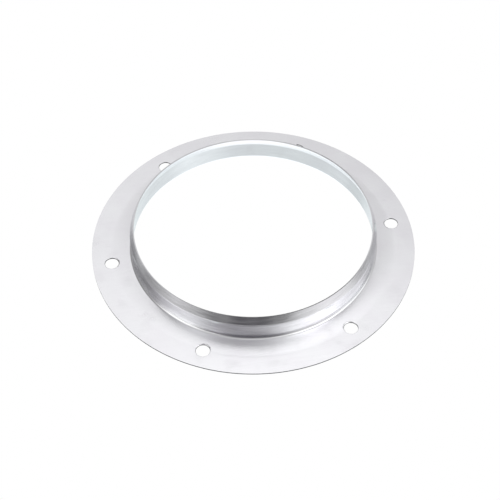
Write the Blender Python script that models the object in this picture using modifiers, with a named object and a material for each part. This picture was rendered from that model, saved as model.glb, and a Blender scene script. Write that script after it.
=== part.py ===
"""Duct mounting flange: one piece of galvanised sheet steel, a flat ring with a short collar pressed up from it.

The ring bolts to a wall, a fan or a casing through its round holes. Its outer half is flat, and its inner half
swells up a little to the collar. A round duct or hose pushes over the collar, whose wall flares out slightly to grip
it and whose top leans inwards to lead it on. Metres, +Z up, the origin on the axis at the ring's underside, and the
first bolt hole on +X.
"""

import math

import bmesh
import bpy
from mathutils import Vector

# Driving dimensions
SHEET = 0.00075
COLLAR_DIAMETER = 0.1516
COLLAR_WALL_HEIGHT = 0.0136
WALL_FLARE = math.radians(3.5)
LEAD_IN_HEIGHT = 0.0055
LEAD_IN_ANGLE = math.radians(22.0)
RING_WIDTH = 0.0242
SWELL_ANGLE = math.radians(11.0)
SWELL_RADIUS = 0.060
ROOT_RADIUS = 0.0018
SHOULDER_RADIUS = 0.0025
BOLT_HOLE = 0.0084
BOLT_EDGE_DISTANCE = 0.0117
BOLT_COUNT = 6

# How finely the round shapes are faceted
ROUND_STEPS = 120
SWELL_STEPS = 4
ROOT_STEPS = 6
SHOULDER_STEPS = 3
HOLE_STEPS = 32

GALVANISED = (0.62, 0.63, 0.65, 1.0)
GALVANISED_ROUGHNESS = 0.32


def clear_scene():
    for obj in list(bpy.data.objects):
        bpy.data.objects.remove(obj, do_unlink=True)


def new_collection(name):
    collection = bpy.data.collections.new(name)
    bpy.context.scene.collection.children.link(collection)
    return collection


def galvanised_steel():
    material = bpy.data.materials.new("galvanised_steel")
    material.use_nodes = True
    shader = material.node_tree.nodes["Principled BSDF"]
    shader.inputs["Base Color"].default_value = GALVANISED
    shader.inputs["Metallic"].default_value = 1.0
    shader.inputs["Roughness"].default_value = GALVANISED_ROUGHNESS
    return material


def ring_radius():
    return COLLAR_DIAMETER / 2 + RING_WIDTH


def bolt_circle_radius():
    return ring_radius() - BOLT_EDGE_DISTANCE


class SheetPath:
    """The middle line of the sheet in section, drawn as runs and bends. Both faces are offsets of it."""

    def __init__(self, start, heading):
        self.point = Vector(start)
        self.heading = heading
        self.right_face = []
        self.left_face = []
        self.mark()

    def right_of_heading(self):
        return Vector((math.sin(self.heading), -math.cos(self.heading)))

    def mark(self):
        """Adds the point of each face that stands square to the middle line here."""
        self.right_face.append(self.point + self.right_of_heading() * SHEET / 2)
        self.left_face.append(self.point - self.right_of_heading() * SHEET / 2)

    def run(self, length):
        self.point = self.point + Vector((math.cos(self.heading), math.sin(self.heading))) * length
        self.mark()

    def bend(self, angle, radius, steps):
        """Turns left by angle, or right where it is negative, along an arc of the middle line."""
        to_start = self.right_of_heading() * math.copysign(radius, angle)
        centre = self.point - to_start
        start = self.heading
        for step in range(1, steps + 1):
            self.heading = start + angle * step / steps
            self.point = centre + self.right_of_heading() * math.copysign(radius, angle)
            self.mark()

    def outline(self):
        return self.left_face + self.right_face[::-1]


def sheet_section():
    """The closed outline of the sheet: in along the ring, up the collar's wall and on to the leaning rim."""
    swell_bend = SWELL_RADIUS + SHEET / 2
    root_bend = ROOT_RADIUS + SHEET / 2
    shoulder_bend = SHOULDER_RADIUS + SHEET / 2
    root_angle = math.pi / 2 + WALL_FLARE - SWELL_ANGLE
    shoulder_angle = WALL_FLARE + LEAD_IN_ANGLE
    swell_tangent = swell_bend * math.tan(SWELL_ANGLE / 2)
    root_tangent = root_bend * math.tan(root_angle / 2)
    shoulder_tangent = shoulder_bend * math.tan(shoulder_angle / 2)

    # The middle line's corners, as if it had no bends. The swell's bend runs straight on into the root's.
    crease_radius = (COLLAR_DIAMETER - SHEET) / 2
    swell_to_root = swell_tangent + root_tangent
    root_height = SHEET / 2 + swell_to_root * math.sin(SWELL_ANGLE)
    wall_rise = COLLAR_WALL_HEIGHT - root_height
    root_radius = crease_radius - wall_rise * math.tan(WALL_FLARE)
    swell_radius = root_radius + swell_to_root * math.cos(SWELL_ANGLE)
    # The rim is cut square to the leaning sheet, so the middle of its edge lies a little below the top.
    lead_in_rise = LEAD_IN_HEIGHT - SHEET / 2 * math.sin(LEAD_IN_ANGLE)

    path = SheetPath((ring_radius(), SHEET / 2), math.pi)
    path.run(ring_radius() - swell_radius - swell_tangent)
    path.bend(-SWELL_ANGLE, swell_bend, SWELL_STEPS)
    path.bend(-root_angle, root_bend, ROOT_STEPS)
    path.run(wall_rise / math.cos(WALL_FLARE) - root_tangent - shoulder_tangent)
    path.bend(shoulder_angle, shoulder_bend, SHOULDER_STEPS)
    path.run(lead_in_rise / math.cos(LEAD_IN_ANGLE) - shoulder_tangent)
    return path.outline()


def turned_flange(collection):
    """The section turned once round the axis."""
    outline = sheet_section()
    points = [(point.x, 0.0, point.y) for point in outline]
    edges = [(index, (index + 1) % len(points)) for index in range(len(points))]
    mesh = bpy.data.meshes.new("duct_flange")
    mesh.from_pydata(points, edges, [])
    flange = bpy.data.objects.new("duct_flange", mesh)
    collection.objects.link(flange)

    turn = flange.modifiers.new("turn", "SCREW")
    turn.axis = "Z"
    turn.angle = 2 * math.pi
    turn.steps = ROUND_STEPS
    turn.render_steps = ROUND_STEPS
    turn.use_merge_vertices = True
    turn.merge_threshold = 0.00001
    turn.use_smooth_shade = True
    return flange


def bolt_punches(collection):
    """A round punch for each bolt hole, all in one mesh, each longer than the sheet is thick."""
    shape = bmesh.new()
    for index in range(BOLT_COUNT):
        angle = 2 * math.pi * index / BOLT_COUNT
        punch = bmesh.ops.create_cone(
            shape,
            cap_ends=True,
            segments=HOLE_STEPS,
            radius1=BOLT_HOLE / 2,
            radius2=BOLT_HOLE / 2,
            depth=SHEET * 4,
        )
        place = Vector((math.cos(angle), math.sin(angle), 0.0)) * bolt_circle_radius()
        bmesh.ops.translate(shape, verts=punch["verts"], vec=place + Vector((0.0, 0.0, SHEET / 2)))
    mesh = bpy.data.meshes.new("bolt_punches")
    shape.to_mesh(mesh)
    shape.free()
    punches = bpy.data.objects.new("bolt_punches", mesh)
    collection.objects.link(punches)
    punches.hide_render = True
    punches.display_type = "WIRE"
    return punches


def build():
    clear_scene()
    parts = new_collection("duct_mounting_flange")
    cutters = new_collection("cutters")
    flange = turned_flange(parts)
    flange.data.materials.append(galvanised_steel())

    punching = flange.modifiers.new("bolt_holes", "BOOLEAN")
    punching.operation = "DIFFERENCE"
    punching.solver = "EXACT"
    punching.object = bolt_punches(cutters)


build()
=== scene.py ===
# %% [markdown]
# A duct mounting flange is a flat steel ring with a short collar. The ring bolts to a wall or a fan casing,
# and a round duct or hose pushes over the collar. It is one piece of zinc-plated sheet, cut, pressed and
# punched, so its looks come from three things: the bends of the sheet, its punched edges, and what the
# bright metal reflects.
#
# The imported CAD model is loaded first. It gives the size that everything here keeps to.

# %% Load the frame
import math

import bmesh
import bpy
from mathutils import Matrix, Vector


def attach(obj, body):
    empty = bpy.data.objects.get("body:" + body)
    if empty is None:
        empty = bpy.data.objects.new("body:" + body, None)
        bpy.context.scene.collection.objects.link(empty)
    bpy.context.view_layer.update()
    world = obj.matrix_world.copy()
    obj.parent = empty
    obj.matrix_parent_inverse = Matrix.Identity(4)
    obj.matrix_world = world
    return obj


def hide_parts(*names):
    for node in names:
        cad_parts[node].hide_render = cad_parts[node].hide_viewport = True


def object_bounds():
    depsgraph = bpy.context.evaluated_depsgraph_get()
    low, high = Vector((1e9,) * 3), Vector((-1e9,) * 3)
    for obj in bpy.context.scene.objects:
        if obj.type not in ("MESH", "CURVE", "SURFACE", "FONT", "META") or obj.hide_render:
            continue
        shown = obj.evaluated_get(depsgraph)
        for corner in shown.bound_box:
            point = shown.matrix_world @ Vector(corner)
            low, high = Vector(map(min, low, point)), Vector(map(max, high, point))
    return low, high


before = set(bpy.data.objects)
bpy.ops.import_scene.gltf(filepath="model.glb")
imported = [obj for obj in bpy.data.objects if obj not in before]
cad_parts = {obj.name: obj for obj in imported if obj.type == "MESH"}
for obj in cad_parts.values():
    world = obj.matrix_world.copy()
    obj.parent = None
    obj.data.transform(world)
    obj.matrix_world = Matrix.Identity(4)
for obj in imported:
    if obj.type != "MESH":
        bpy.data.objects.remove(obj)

cad_low, cad_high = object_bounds()
print("CAD box in mm:", [round(side * 1000, 2) for side in cad_high - cad_low])

# %% [markdown]
# The ring's radius and the collar's height are read from the CAD box. The rest are the sizes of the press
# tool: the sheet, the collar, the three bends and the punched holes. They are the CAD model's own values,
# so the finer flange made here lies exactly where the CAD solid does.

# %% Sizes
MM = 0.001
NODE = "duct_flange"
RING_RADIUS = cad_high.x
COLLAR_HEIGHT = cad_high.z
SHEET = 0.75 * MM
COLLAR_RADIUS = 75.8 * MM
WALL_FLARE = math.radians(3.5)
LEAD_IN_HEIGHT = 5.5 * MM
LEAD_IN_ANGLE = math.radians(22)
SWELL_ANGLE = math.radians(11)
SWELL_RADIUS = 60 * MM
ROOT_RADIUS = 1.8 * MM
SHOULDER_RADIUS = 2.5 * MM
BOLT_HOLE_RADIUS = 4.2 * MM
BOLT_EDGE_DISTANCE = 11.7 * MM
BOLT_COUNT = 6
bolt_circle_radius = RING_RADIUS - BOLT_EDGE_DISTANCE
print("bolt circle in mm:", round(2 * bolt_circle_radius / MM, 2))

# %% [markdown]
# An operator acts on all that is selected, so nothing may be selected before a new piece is added. In edit
# mode, edges are picked in code by a test on where their ends lie, which is what a click or a box does by
# hand.

# %% Selection helpers
def deselect_all():
    if bpy.context.mode != "OBJECT":
        bpy.ops.object.mode_set(mode="OBJECT")
    bpy.ops.object.select_all(action="DESELECT")


def pick_edges(obj, wanted):
    """Selects, in edit mode, the edges whose two ends both pass the test."""
    shape = bmesh.from_edit_mesh(obj.data)
    bpy.ops.mesh.select_mode(type="EDGE")
    bpy.ops.mesh.select_all(action="DESELECT")
    for edge in shape.edges:
        edge.select_set(all(wanted(vertex.co) for vertex in edge.verts))
    bmesh.update_edit_mesh(obj.data)
    return sum(edge.select for edge in shape.edges)


def radius_of(point):
    return math.hypot(point.x, point.y)


def near(value, target, reach=0.02 * MM):
    return abs(value - target) < reach


# %% [markdown]
# The flange and the punch for its holes are both round, and both are drawn as a profile that goes up in
# steps. A circle is the first step. Extruding its edge, and scaling each new edge about the axis, adds the
# others. Turning the profile with Spin would give the same shapes, but extruding shows each stroke of the
# press.

# %% Helpers for round pieces
def in_mm(profile):
    return [(round(radius / MM, 2), round(height / MM, 2)) for radius, height in profile]


def draw_round(name, profile, steps, fill_type):
    """Draws a round piece from the radius and height of each step, and leaves it in edit mode."""
    radius, height = profile[0]
    deselect_all()
    bpy.ops.mesh.primitive_circle_add(
        vertices=steps, radius=radius, fill_type=fill_type, location=(0, 0, height)
    )
    bpy.ops.object.transform_apply(location=True, rotation=True, scale=True)
    bpy.ops.object.mode_set(mode="EDIT")
    bpy.ops.mesh.select_all(action="SELECT")
    for next_radius, next_height in profile[1:]:
        bpy.ops.mesh.extrude_region_move(TRANSFORM_OT_translate={"value": (0, 0, next_height - height)})
        scale = next_radius / radius
        bpy.ops.transform.resize(value=(scale, scale, 1), center_override=(0, 0, 0))
        radius, height = next_radius, next_height
    piece = bpy.context.active_object
    piece.name = name
    print(name, "radius and height in mm:", in_mm(profile))
    return piece


def face_outwards():
    """Turns all faces of the active object outwards, and leaves edit mode."""
    bpy.ops.object.mode_set(mode="EDIT")
    bpy.ops.mesh.select_all(action="SELECT")
    bpy.ops.mesh.normals_make_consistent(inside=False)
    bpy.ops.object.mode_set(mode="OBJECT")


# %% [markdown]
# The press starts from a flat blank and pushes the collar up in steps, and the model follows the same
# order. A circle is the blank's outer edge. The first step inwards draws the flat ring, and the next ones
# swell its inner half up to the collar, raise the wall and lean its top in. The swell is where drawing the
# collar up has pulled the ring with it. This thin surface is the middle of the sheet, with sharp corners
# and no thickness yet.
#
# A round bend starts before its corner, by its radius times the tangent of half its angle. The corners are
# spaced by those lengths, so that the swell's bend later runs straight on into the root's.

# %% Draw the middle of the sheet
ROUND_STEPS = 288
ROOT_ANGLE = math.radians(90) + WALL_FLARE - SWELL_ANGLE
SHOULDER_ANGLE = WALL_FLARE + LEAD_IN_ANGLE


def bend_tangent(outer_radius, angle):
    """How far before its corner a bend of the sheet's middle starts."""
    return (outer_radius + SHEET / 2) * math.tan(angle / 2)


crease_radius = COLLAR_RADIUS - SHEET / 2
crease_height = COLLAR_HEIGHT - LEAD_IN_HEIGHT
swell_to_root = bend_tangent(SWELL_RADIUS, SWELL_ANGLE) + bend_tangent(ROOT_RADIUS, ROOT_ANGLE)
root_height = SHEET / 2 + swell_to_root * math.sin(SWELL_ANGLE)
root_radius = crease_radius - (crease_height - root_height) * math.tan(WALL_FLARE)
swell_radius = root_radius + swell_to_root * math.cos(SWELL_ANGLE)
# The rim is cut square to the leaning sheet, so the middle of its edge lies a little lower than the top.
rim_height = COLLAR_HEIGHT - SHEET / 2 * math.sin(LEAD_IN_ANGLE)
rim_radius = crease_radius - (rim_height - crease_height) * math.tan(LEAD_IN_ANGLE)

swell_corner = (swell_radius, SHEET / 2)
root_corner = (root_radius, root_height)
shoulder_corner = (crease_radius, crease_height)
sheet_profile = [
    (RING_RADIUS, SHEET / 2),
    swell_corner,
    root_corner,
    shoulder_corner,
    (rim_radius, rim_height),
]
flange = draw_round("zinc_plated_flange", sheet_profile, ROUND_STEPS, "NOTHING")

# %% [markdown]
# Sheet metal can't fold to a sharp line, so the three bends are rounded. Bevelling an edge loop gives the
# press tool's radius there: a long shallow one for the swell, and small ones at the collar's root and at
# the shoulder, where the wall starts to lean. A bevel's offset is the distance from the corner to where the
# arc starts.

# %% Round the bends
# A hair less than the full offset, so that two bends that meet keep their own points.
OFFSET_SHARE = 0.999


def round_bend(corner, angle, outer_radius, segments):
    radius, height = corner
    count = pick_edges(flange, lambda p: near(radius_of(p), radius) and near(p.z, height))
    offset = bend_tangent(outer_radius, angle) * OFFSET_SHARE
    bpy.ops.mesh.bevel(offset_type="OFFSET", offset=offset, segments=segments, affect="EDGES")
    print("rounded a loop of", count, "edges")


round_bend(swell_corner, SWELL_ANGLE, SWELL_RADIUS, segments=12)
round_bend(root_corner, ROOT_ANGLE, ROOT_RADIUS, segments=12)
round_bend(shoulder_corner, SHOULDER_ANGLE, SHOULDER_RADIUS, segments=6)
bpy.ops.object.mode_set(mode="OBJECT")

# %% [markdown]
# Solidify turns the middle surface into sheet of an even thickness. Its offset is zero, so the metal grows
# equally to both sides, and even thickness keeps the bends from thinning.

# %% Give the sheet its thickness
def apply_modifier(obj, kind, **settings):
    modifier = obj.modifiers.new(kind.lower(), kind)
    for name, value in settings.items():
        setattr(modifier, name, value)
    bpy.context.view_layer.objects.active = obj
    bpy.ops.object.modifier_apply(modifier=modifier.name)


apply_modifier(flange, "SOLIDIFY", thickness=SHEET, offset=0.0, use_even_offset=True)
face_outwards()
print("sheet:", len(flange.data.polygons), "faces")

# %% [markdown]
# The bolt holes are punched, not drilled. A punch drags the metal down with it before it cuts, so each hole
# has a rounded mouth on top and a plain wall below. The cutter has the shape of that hole: a straight shank
# that flares out like a trumpet at the sheet's top face. Rounding the hole's edge later would do too, but a
# cutter with the mouth built in cuts cleanly.

# %% Draw the punch
HOLE_STEPS = 96
MOUTH_RADIUS = 0.4 * MM
MOUTH_STEPS = 5
MOUTH_END = math.radians(60)
SHANK_BELOW_RING = 3 * SHEET
FLARE_ABOVE_RING = 0.35 * MM
punch_profile = [(BOLT_HOLE_RADIUS, -SHANK_BELOW_RING)]
for step in range(MOUTH_STEPS + 1):
    turn = MOUTH_END * step / MOUTH_STEPS
    radius = BOLT_HOLE_RADIUS + MOUTH_RADIUS * (1 - math.cos(turn))
    punch_profile.append((radius, SHEET - MOUTH_RADIUS * (1 - math.sin(turn))))
# The flare runs straight on. It ends above the swell, which rises less than 0.2 mm as far out as the holes.
punch_top = SHEET + FLARE_ABOVE_RING
radius, height = punch_profile[-1]
punch_profile.append((radius + (punch_top - height) * math.tan(MOUTH_END), punch_top))
punch = draw_round("punch", punch_profile, HOLE_STEPS, "NGON")
face_outwards()

# %% [markdown]
# The punch is copied round the bolt circle, and one boolean cuts with all of the copies in a single stroke,
# as a punch set does. The points move inside each mesh, so every object stays at the origin.

# %% Punch the bolt holes
punches = []
for index in range(BOLT_COUNT):
    copy = punch.copy()
    copy.data = punch.data.copy()
    copy.data.transform(Matrix.Translation((bolt_circle_radius, 0, 0)))
    copy.data.transform(Matrix.Rotation(2 * math.pi * index / BOLT_COUNT, 4, "Z"))
    bpy.context.scene.collection.objects.link(copy)
    punches.append(copy)
bpy.data.objects.remove(punch, do_unlink=True)
deselect_all()
for each in punches:
    each.select_set(True)
punch_set = punches[0]
bpy.context.view_layer.objects.active = punch_set
bpy.ops.object.join()
apply_modifier(flange, "BOOLEAN", operation="DIFFERENCE", solver="EXACT", object=punch_set)
bpy.data.objects.remove(punch_set, do_unlink=True)
print("punched:", len(flange.data.polygons), "faces")

# %% [markdown]
# A shear leaves a crisp edge, which the plating then rounds a little. A small bevel on every cut edge gives
# the thin line of light that the eye reads as real sheet metal. The cut edges are those where the surface
# turns by much more than one step of a bend.
#
# Smooth shading blends each face into its neighbours, and on its own it would make the wide flat ring look
# swollen beside the narrow bevels. Weighted normals let the large faces win, so that flat stays flat.

# %% Soften the cut edges
CUT_EDGE_BEVEL = 0.15 * MM
CUT_EDGE_TURN = math.radians(50)
SMOOTH_TURN = math.radians(35)
FULL_WEIGHT = 100
apply_modifier(
    flange,
    "BEVEL",
    width=CUT_EDGE_BEVEL,
    segments=3,
    limit_method="ANGLE",
    angle_limit=CUT_EDGE_TURN,
    use_clamp_overlap=True,
)
deselect_all()
flange.select_set(True)
bpy.context.view_layer.objects.active = flange
bpy.ops.object.shade_smooth_by_angle(angle=SMOOTH_TURN)
apply_modifier(flange, "WEIGHTED_NORMAL", mode="FACE_AREA", weight=FULL_WEIGHT, keep_sharp=True)
print("finished:", len(flange.data.polygons), "faces")

# %% [markdown]
# The outer edge and the holes' walls look different from the sheet's faces. A blade or punch slices into
# the sheet and then tears it, and the torn edge is grey, dull and rough even under the plating. The grey
# given to these faces is darker still, as painted shade. On the outer edge it stands in for the contact
# shadow where the sheet meets the floor, which the glowing floor doesn't cast. The rim's end is smooth and
# bright, as it was trimmed and rolled over. The torn faces are found by their place and marked 1 in an
# attribute, for the material to read. A second material slot would do too, but an attribute keeps the
# flange one finish.

# %% Mark the torn faces, which also take painted shade
# A face counts when its middle lies this close to the cut, which takes in a part of the bevels beside it.
EDGE_REACH = 0.06 * MM
HOLE_REACH = 0.08 * MM


def is_torn(face):
    """True on the ring's outer edge and in the bolt holes' walls."""
    x, y, _ = face.center
    if math.hypot(x, y) > RING_RADIUS - EDGE_REACH:
        return True
    step = 2 * math.pi / BOLT_COUNT
    angle = round(math.atan2(y, x) / step) * step
    hole_x, hole_y = bolt_circle_radius * math.cos(angle), bolt_circle_radius * math.sin(angle)
    return math.hypot(x - hole_x, y - hole_y) < BOLT_HOLE_RADIUS + HOLE_REACH


# These faces take the grey of torn steel, darkened with painted shade for the outer edge's contact shadow.
torn_marks = [float(is_torn(face)) for face in flange.data.polygons]
torn_attribute = flange.data.attributes.new("cut", "FLOAT", "FACE")
torn_attribute.data.foreach_set("value", torn_marks)
print("torn faces:", int(sum(torn_marks)))

# %% [markdown]
# Every colour of a surface is written as a hex value, as a paint program shows it. Blender's shaders work
# in linear light, so one function turns the one into the other. A second small function adds any node with
# its settings and its inputs. Wiring a tree is then a list of steps, each with the name that the node
# editor uses.

# %% Shader helpers
SMOOTH_STEP = {"interpolation_type": "SMOOTHSTEP"}
MULTIPLY_ADD = {"operation": "MULTIPLY_ADD"}
MIX_COLOURS = {"data_type": "RGBA"}
# The Mix node has sockets for each type of value, and these are the places of its colour sockets.
COLOUR_A, COLOUR_B, COLOUR_RESULT = 6, 7, 2


def linear(hex_colour):
    """An sRGB hex colour as linear red, green, blue and alpha."""
    channels = [int(hex_colour[index : index + 2], 16) / 255 for index in (1, 3, 5)]
    return [c / 12.92 if c <= 0.04045 else ((c + 0.055) / 1.055) ** 2.4 for c in channels] + [1.0]


def add_node(tree, kind, settings=None, inputs=None):
    """Adds a node. Its inputs come by name, or in order as a list. Values are set, and sockets are linked.

    A node may stand for its own first output.
    """
    node = tree.nodes.new(kind)
    for name, value in (settings or {}).items():
        setattr(node, name, value)
    if isinstance(inputs, list):
        inputs = dict(enumerate(inputs))
    for name, value in (inputs or {}).items():
        if isinstance(value, bpy.types.Node):
            value = value.outputs[0]
        if isinstance(value, bpy.types.NodeSocket):
            tree.links.new(value, node.inputs[name])
        else:
            node.inputs[name].default_value = value
    return node


# %% [markdown]
# The marks need to know where on the sheet they are. The place is counted in mm from the flange's origin,
# and the distance from the axis tells the ring from the collar.

# %% Where a mark lies
# Between these distances from the axis, in mm, the marks of the collar give way to those of the ring.
COLLAR_END = 76.5
RING_START = 79


def sheet_place(tree, coordinates):
    """The place in mm, the way straight out from the axis, and 1 on the ring against 0 on the collar."""
    to_mm = {0: coordinates.outputs["Object"], "Scale": 1 / MM}
    place = add_node(tree, "ShaderNodeVectorMath", {"operation": "SCALE"}, to_mm)
    level = add_node(tree, "ShaderNodeVectorMath", {"operation": "MULTIPLY"}, [place, (1, 1, 0)])
    outwards = add_node(tree, "ShaderNodeVectorMath", {"operation": "NORMALIZE"}, [level])
    from_axis = add_node(tree, "ShaderNodeVectorMath", {"operation": "LENGTH"}, [level])
    limits = {"Value": from_axis.outputs["Value"], "From Min": COLLAR_END, "From Max": RING_START}
    on_ring = add_node(tree, "ShaderNodeMapRange", SMOOTH_STEP, limits)
    return place, outwards, on_ring


# %% [markdown]
# Rolling left fine straight lines all along the sheet, and they are still there on the flat ring. The draw
# punch rubbed new lines round the collar, most of all outside. Both are a noise in object coordinates, so
# they stay on the metal when the flange turns. Squeezing a noise's coordinates along one way stretches its
# pattern along that way, which makes lines out of spots. An image would need a UV map, where a noise has a
# real size in mm.

# %% Lines of rolling and drawing
NOISE_ROUGHNESS = 0.55
NOISE_MIDDLE = 0.5
# Rolling lines run along X. The draw's lines follow the height, and change slowly round the collar.
ROLLING_LINES_PER_MM = 1.1
ROLLING_DETAIL = 3
ROLLING_SQUEEZE = (0.02, 1, 1)
DRAWING_LINES_PER_MM = 0.55
DRAWING_DETAIL = 4
DRAWING_CHANGE = 5
# How strong the draw's lines are beside the worn rolling lines.
DRAWING_OUTSIDE = 8
DRAWING_INSIDE = 3
# How far past edge-on to the axis the sheet turns while the one strength gives way to the other.
EDGE_ON_BLUR = 0.1


def rolling_lines(tree, place):
    """The rolling lines, centred on 0."""
    squeezed = add_node(tree, "ShaderNodeVectorMath", {"operation": "MULTIPLY"}, [place, ROLLING_SQUEEZE])
    pattern = {
        "Vector": squeezed,
        "Scale": ROLLING_LINES_PER_MM,
        "Detail": ROLLING_DETAIL,
        "Roughness": NOISE_ROUGHNESS,
    }
    lines = add_node(tree, "ShaderNodeTexNoise", None, pattern)
    return add_node(tree, "ShaderNodeMath", {"operation": "SUBTRACT"}, [lines, NOISE_MIDDLE])


def drawing_lines(tree, place, outwards, normal):
    """The draw's lines, centred on 0. They are strongest where the sheet faces away from the axis."""
    upwards = (0, 0, DRAWING_LINES_PER_MM)
    height = add_node(tree, "ShaderNodeVectorMath", {"operation": "MULTIPLY"}, [place, upwards])
    turning = {0: outwards, "Scale": DRAWING_CHANGE}
    turn = add_node(tree, "ShaderNodeVectorMath", {"operation": "SCALE"}, turning)
    squeezed = add_node(tree, "ShaderNodeVectorMath", {"operation": "ADD"}, [height, turn])
    pattern = {"Vector": squeezed, "Scale": 1, "Detail": DRAWING_DETAIL, "Roughness": NOISE_ROUGHNESS}
    lines = add_node(tree, "ShaderNodeTexNoise", None, pattern)
    lines = add_node(tree, "ShaderNodeMath", {"operation": "SUBTRACT"}, [lines, NOISE_MIDDLE])
    facing = add_node(tree, "ShaderNodeVectorMath", {"operation": "DOT_PRODUCT"}, [normal, outwards])
    limits = {"Value": facing.outputs["Value"], "From Min": -EDGE_ON_BLUR, "From Max": EDGE_ON_BLUR}
    outside = add_node(tree, "ShaderNodeMapRange", SMOOTH_STEP, limits)
    growth = DRAWING_OUTSIDE - DRAWING_INSIDE
    strength = add_node(tree, "ShaderNodeMath", MULTIPLY_ADD, [outside, growth, DRAWING_INSIDE])
    return add_node(tree, "ShaderNodeMath", {"operation": "MULTIPLY"}, [lines, strength])


# %% [markdown]
# The plating bath left faint clouds 20 mm across, and handling left small dull smudges. Thin sheet is never
# quite flat either, so a slow warp runs through it. These three are plain noise, and only their sizes
# differ.

# %% All marks together
# The size of each mark in mm, and how much fine detail its noise has.
SPOTS = {"clouds": (20, 3), "smudges": (14, 2), "warp": (35, 1)}
# The noise makes a smudge where it rises from the first of these values to the second.
SMUDGE_START, SMUDGE_FULL = 0.5, 0.8


def sheet_marks(tree):
    """Every mark by its name, as a number. The grain is centred on 0, the others lie between 0 and 1."""
    coordinates = add_node(tree, "ShaderNodeTexCoord")
    place, outwards, on_ring = sheet_place(tree, coordinates)
    rolling = rolling_lines(tree, place)
    drawing = drawing_lines(tree, place, outwards, coordinates.outputs["Normal"])
    change = add_node(tree, "ShaderNodeMath", {"operation": "SUBTRACT"}, [rolling, drawing])
    grain = add_node(tree, "ShaderNodeMath", MULTIPLY_ADD, [on_ring, change, drawing])
    # The torn faces get the dull grey of torn steel, and painted shade on top of it.
    torn = add_node(tree, "ShaderNodeAttribute", {"attribute_name": "cut"}).outputs["Fac"]
    marks = {"ring": on_ring, "grain": grain, "torn": torn}
    for name, (size, detail) in SPOTS.items():
        pattern = {"Vector": place, "Scale": 1 / size, "Detail": detail, "Roughness": NOISE_ROUGHNESS}
        marks[name] = add_node(tree, "ShaderNodeTexNoise", None, pattern)
    limits = {"Value": marks["smudges"], "From Min": SMUDGE_START, "From Max": SMUDGE_FULL}
    marks["smudges"] = add_node(tree, "ShaderNodeMapRange", SMOOTH_STEP, limits)
    return marks


# %% [markdown]
# The metal is steel sheet with a thin coat of zinc, laid on in a bath. Zinc is a bluish white metal, a
# little darker than silver, and the coat is satin and not mirror bright. Its colour shifts between two
# close whites with the clouds. The ring is a little duller than the polished wall, and smudges are duller
# still. Torn steel is dull and grey, and painted shade makes its grey darker, standing in for the contact
# shadow along the outer edge. The other marks change the colour, the roughness and the slope of the
# surface by a few hundredths, so they show as satin and not as a pattern. A mixing node for each mark
# would do too, but adding them up, each times its strength, keeps the recipe to one line for the shade, one
# for the roughness and one for the relief.

# %% Zinc plated steel
ZINC = "#edecf0"
ZINC_IN_CLOUDS = "#eeeef1"
# Torn steel's grey, made darker by painted shade that stands in for the contact shadow along the outer
# edge.
TORN_STEEL_AND_SHADE = "#4c4c50"
# The clouds' noise goes from the first white to the second between these values.
CLOUD_START, CLOUD_FULL = 0.35, 0.65


def add_up(tree, marks, base, **strengths):
    """The base value, and on top of it each named mark times its strength."""
    total = base
    for name, strength in strengths.items():
        total = add_node(tree, "ShaderNodeMath", MULTIPLY_ADD, [marks[name], strength, total])
    return total


def zinc_colour(tree, marks):
    """The two whites, shaded by the marks, and on the torn faces a grey of torn steel and painted shade."""
    limits = {"Value": marks["clouds"], "From Min": CLOUD_START, "From Max": CLOUD_FULL}
    cloudy = add_node(tree, "ShaderNodeMapRange", SMOOTH_STEP, limits)
    whites = {"Factor": cloudy, COLOUR_A: linear(ZINC), COLOUR_B: linear(ZINC_IN_CLOUDS)}
    coat = add_node(tree, "ShaderNodeMix", MIX_COLOURS, whites).outputs[COLOUR_RESULT]
    shade = add_up(tree, marks, base=0.975, clouds=0.07, grain=0.05, smudges=-0.03)
    tone = add_node(tree, "ShaderNodeVectorMath", {"operation": "SCALE"}, {0: coat, "Scale": shade})
    # The torn faces take the dark grey, which is partly painted shade for the contact shadow at the outer
    # edge.
    tones = {"Factor": marks["torn"], COLOUR_A: tone, COLOUR_B: linear(TORN_STEEL_AND_SHADE)}
    return add_node(tree, "ShaderNodeMix", MIX_COLOURS, tones).outputs[COLOUR_RESULT]


def zinc_plated_steel():
    material = bpy.data.materials.new("zinc_plated_steel")
    material.use_nodes = True
    tree = material.node_tree
    shader = tree.nodes["Principled BSDF"]
    marks = sheet_marks(tree)
    roughness = add_up(tree, marks, base=0.17, ring=0.04, clouds=0.05, smudges=0.05, torn=0.25)
    # The relief is in mm. The warp is a tenth of a mm deep, and the ring's grain a few thousandths.
    relief = add_up(tree, marks, base=0.0, warp=0.12, grain=0.012)
    bump = add_node(tree, "ShaderNodeBump", None, {"Strength": 1.0, "Distance": MM, "Height": relief})
    shader.inputs["Metallic"].default_value = 1.0
    tree.links.new(zinc_colour(tree, marks), shader.inputs["Base Color"])
    tree.links.new(roughness.outputs["Value"], shader.inputs["Roughness"])
    tree.links.new(bump.outputs["Normal"], shader.inputs["Normal"])
    print("zinc plated steel:", len(tree.nodes), "nodes")
    return material


# %% [markdown]
# The finished flange rides on the CAD model's only body. It takes the place of the only CAD node, which is
# hidden, because a new material on the CAD mesh would leave its coarser bends and sharp holes in sight.

# %% Dress the flange
flange.data.materials.clear()
flange.data.materials.append(zinc_plated_steel())
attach(flange, "root")
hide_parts(NODE)
print("dressed:", flange.name, "in place of", NODE)

# %% [markdown]
# The camera stands where the photographer stood: in front, 10 degrees to the left of the middle between two
# bolt holes, and 48 degrees above the floor. A 95 mm lens from about 0.8 m keeps the ring's ellipse only
# slightly wider in front.

# %% Camera
CAMERA_AZIMUTH = math.radians(-10.4)
CAMERA_ELEVATION = math.radians(48.45)
CAMERA_DISTANCE = 822.8 * MM
CAMERA_ROLL = math.radians(-0.5)
CLIP_START = 10 * MM
LENS_MM = 95.22
SENSOR_MM = 36
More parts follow.
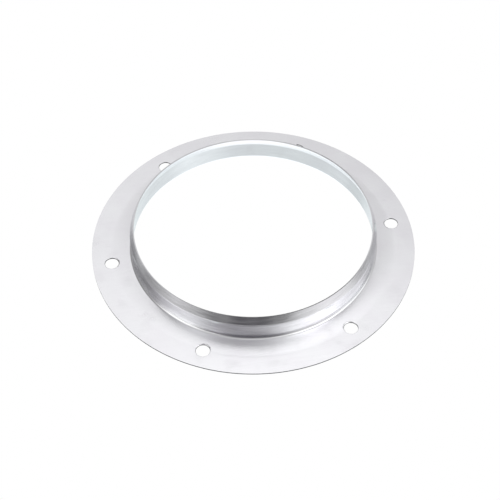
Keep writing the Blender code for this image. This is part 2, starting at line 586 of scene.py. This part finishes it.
# The photograph frames the flange a little to the right of its centre, and above it.
AIM_LEFT = 2.03 * MM
AIM_DOWN = 3.89 * MM


def direction(azimuth, elevation):
    """The way from the origin to a point at that azimuth and elevation. Azimuth 0 is in front, on -Y."""
    level = math.cos(elevation)
    return Vector((math.sin(azimuth) * level, -math.cos(azimuth) * level, math.sin(elevation)))


stand = direction(CAMERA_AZIMUTH, CAMERA_ELEVATION) * CAMERA_DISTANCE
facing = (-stand).to_track_quat("-Z", "Y")
aim = facing @ Vector((-AIM_LEFT, -AIM_DOWN, 0))
facing = (aim - stand).to_track_quat("-Z", "Y")
lens = bpy.data.cameras.new("camera")
lens.lens = LENS_MM
lens.sensor_width = SENSOR_MM
lens.clip_start = CLIP_START
camera = bpy.data.objects.new("camera", lens)
bpy.context.scene.collection.objects.link(camera)
camera.location = stand
camera.rotation_mode = "QUATERNION"
camera.rotation_quaternion = facing @ Matrix.Rotation(CAMERA_ROLL, 3, "Z").to_quaternion()
bpy.context.scene.camera = camera
print("camera stands in mm at:", [round(length / MM) for length in stand])

# %% [markdown]
# The stage is a plain white floor inside a white dome, which looks as seamless as a photographer's paper
# sweep. Both glow evenly, and only the camera sees them, so the flange lies on clean white with no horizon
# and no shadow. The metal reflects the studio of the next cells in their place.

# %% Floor and backdrop
FLOOR_SIZE = 20
FLOOR_GAP = 0.01 * MM
DOME_RADIUS = 9


def white_paper():
    material = bpy.data.materials.new("white_paper")
    material.use_nodes = True
    tree = material.node_tree
    tree.nodes.clear()
    glow = add_node(tree, "ShaderNodeEmission", None, {"Color": (1, 1, 1, 1), "Strength": 1.0})
    add_node(tree, "ShaderNodeOutputMaterial", None, {"Surface": glow})
    return material


paper = white_paper()


def stage_paper(name):
    """Makes the active object a part of the stage that only the camera sees."""
    piece = bpy.context.active_object
    piece.name = name
    piece.data.materials.append(paper)
    piece.visible_glossy = False
    piece.visible_diffuse = False
    piece.visible_shadow = False
    print("stage:", name)


deselect_all()
bpy.ops.mesh.primitive_plane_add(size=FLOOR_SIZE, location=(0, 0, -FLOOR_GAP))
stage_paper("floor")
deselect_all()
bpy.ops.mesh.primitive_uv_sphere_add(segments=32, ring_count=16, radius=DOME_RADIUS)
stage_paper("backdrop")

# %% [markdown]
# Bright metal has hardly any look of its own: it shows its surroundings. So the light is the room itself,
# painted on the world as a photographer would arrange it. Each bend of the metal mirrors a part of the room
# of its own: the flat ring the ceiling behind it, the leaning rim the room level with it and below, and the
# collar's front the ring before it. Area lights would do too, but a painted room gives less noise and
# blends more softly.
#
# The plain room comes first. Its ceiling is an almost even grey, and its floor is dark far away and bright
# underneath.

# %% The plain room
# Heights go from -1, straight down, by way of 0, the horizon, to 1, straight up.
OVERHEAD = 0.9
UNDERFOOT = -0.95
HORIZON_BLUR = 0.01
# The brightness of the ceiling and the floor at the horizon, and then straight up or down.
CEILING_FAR, CEILING_ABOVE = 0.4, 0.5
FLOOR_FAR, FLOOR_BELOW = 0.03, 1.1

world = bpy.data.worlds.new("studio")
world.use_nodes = True
bpy.context.scene.world = world
studio = world.node_tree
studio.nodes.clear()
looking = add_node(studio, "ShaderNodeTexCoord").outputs["Generated"]
looking_height = add_node(studio, "ShaderNodeSeparateXYZ", None, {"Vector": looking}).outputs["Z"]


def grey(level):
    return (level, level, level, 1)


def by_height(start, end, first, last):
    """The first colour up to the start height, the last from the end height, a smooth step between."""
    limits = {"Value": looking_height, "From Min": start, "From Max": end}
    share = add_node(studio, "ShaderNodeMapRange", SMOOTH_STEP, limits)
    colours = {"Factor": share, COLOUR_A: first, COLOUR_B: last}
    return add_node(studio, "ShaderNodeMix", MIX_COLOURS, colours).outputs[COLOUR_RESULT]


ceiling = by_height(0, OVERHEAD, grey(CEILING_FAR), grey(CEILING_ABOVE))
ground = by_height(0, UNDERFOOT, grey(FLOOR_FAR), grey(FLOOR_BELOW))
room = by_height(-HORIZON_BLUR, HORIZON_BLUR, ground, ceiling)
print("plain room:", len(studio.nodes), "nodes")

# %% [markdown]
# Lamps, boards and dark places are soft round patches over the plain room. Each one fades out between an
# inner and an outer angle from its centre, and lies over those before it.
#
# The collar's front shows two softboxes by way of the ring, a wide one to the right of the camera and a
# smaller one to the left. The leaning rim looks lower, and shows white boards near the floor on both sides.

# %% Softboxes and boards
def patch(under, azimuth, elevation, inner, outer, colour):
    """Lays a soft round patch over the studio. All angles are in degrees, and azimuth 0 is in front."""
    centre = direction(math.radians(azimuth), math.radians(elevation))
    along = add_node(studio, "ShaderNodeVectorMath", {"operation": "DOT_PRODUCT"}, [looking, centre])
    away = add_node(studio, "ShaderNodeMath", {"operation": "ARCCOSINE"}, [along.outputs["Value"]])
    limits = {"Value": away, "From Min": math.radians(outer), "From Max": math.radians(inner)}
    cover = add_node(studio, "ShaderNodeMapRange", SMOOTH_STEP, limits)
    colours = {"Factor": cover, COLOUR_A: under, COLOUR_B: colour}
    return add_node(studio, "ShaderNodeMix", MIX_COLOURS, colours).outputs[COLOUR_RESULT]


# The right softbox and the left one, each in two parts.
room = patch(room, 50, 39, 12, 42, (1.44, 1.45, 1.41, 1))
room = patch(room, 74, 29, 10, 38, (1.27, 1.3, 1.28, 1))
room = patch(room, -71, 21, 12, 26, (1.34, 1.35, 1.31, 1))
room = patch(room, -89, 51, 10, 26, grey(1.04))
# The boards, and a bright spot on the right one.
room = patch(room, 49, -26, 13, 45, grey(0.94))
room = patch(room, -68, -29, 6, 38, grey(0.77))
room = patch(room, 48, -27, 4, 12, grey(1.2))
print("with softboxes:", len(studio.nodes), "nodes")

# %% [markdown]
# The room below and behind the camera is dark, which gives the collar's front its deep tone. Real lights
# are uneven, so smaller patches make hot and weak places in the softboxes.

# %% Dark room and uneven lights
# A hot spot beside the left softbox, then the dark room, and a weak place in the ceiling above them.
room = patch(room, -44, 31, 3, 12, grey(1.2))
room = patch(room, -14, 14, 7, 42, (0.104, 0.1, 0.112, 1))
room = patch(room, -36, 48, 3, 11, grey(0.33))
# The right softbox is hottest in its middle and at its top, and weaker at its sides.
room = patch(room, 19, 49, 3, 10, grey(0.92))
room = patch(room, 52, 38, 5, 15, grey(1.65))
room = patch(room, 90, 42, 5, 16, grey(0.98))
room = patch(room, 112, 8, 6, 20, grey(0.6))
room = patch(room, 62, 58, 6, 15, grey(1.9))
# Faint light low down in front, and more of it to the right.
room = patch(room, -33, -9, 2, 9, grey(0.27))
room = patch(room, 7, -9, 2, 8, grey(0.26))
room = patch(room, 30, 4, 6, 18, grey(0.7))
# Shade low down at the sides, which the inside of the collar shows.
room = patch(room, -122, -38, 6, 18, grey(0.74))
room = patch(room, 84, -38, 6, 18, grey(0.84))
print("with the dark room:", len(studio.nodes), "nodes")

# %% [markdown]
# The flat ring shows the ceiling behind the flange: an even grey that falls off into a dark corner on the
# left. The ring's swell tilts a little, so it looks elsewhere on the ceiling and finds brighter places
# there.

# %% Ceiling behind the flange
room = patch(room, -132, 43, 6, 43, grey(0.22))
room = patch(room, 172, 43, 18, 44, grey(0.77))
room = patch(room, 162, 45, 3, 12, grey(0.66))
# The brighter places, mostly for the swell, and a light straight above.
room = patch(room, 182, 58, 5, 18, grey(1.03))
room = patch(room, 171, 56, 3, 10, grey(1.12))
room = patch(room, -162, 50, 4, 13, grey(0.95))
room = patch(room, 160, 61, 4, 14, grey(1.38))
room = patch(room, 0, 88, 4, 16, grey(0.7))
print("with the ceiling:", len(studio.nodes), "nodes")

# %% [markdown]
# The inside of the collar looks down at the lit floor, behind and below the flange. The floor there is
# dimmer towards a dark skirting, which lies between it and the ceiling. The light from below is tinted a
# pale blue-green, which the inside shows too. A Background node turns the painted room into light.

# %% Lit floor
FLOOR_TINT = (0.93, 1.0, 1.0, 1)
TINT_START, TINT_FULL = -0.3, -0.7
room = patch(room, 180, -65, 6, 29, (1.7, 1.6, 1.6, 1))
room = patch(room, 0, -89, 8, 24, (1.33, 1.25, 1.25, 1))
room = patch(room, 180, 0, 10, 30, grey(0.06))
room = patch(room, 180, -46, 6, 16, grey(0.55))
tint = by_height(TINT_START, TINT_FULL, grey(1.0), FLOOR_TINT)
room = add_node(studio, "ShaderNodeVectorMath", {"operation": "MULTIPLY"}, [room, tint])
shine = add_node(studio, "ShaderNodeBackground", None, {"Color": room})
add_node(studio, "ShaderNodeOutputWorld", None, {"Surface": shine})
# Colours are shown as they are, with no film look over them.
bpy.context.scene.view_settings.view_transform = "Standard"
print("whole studio:", len(studio.nodes), "nodes")
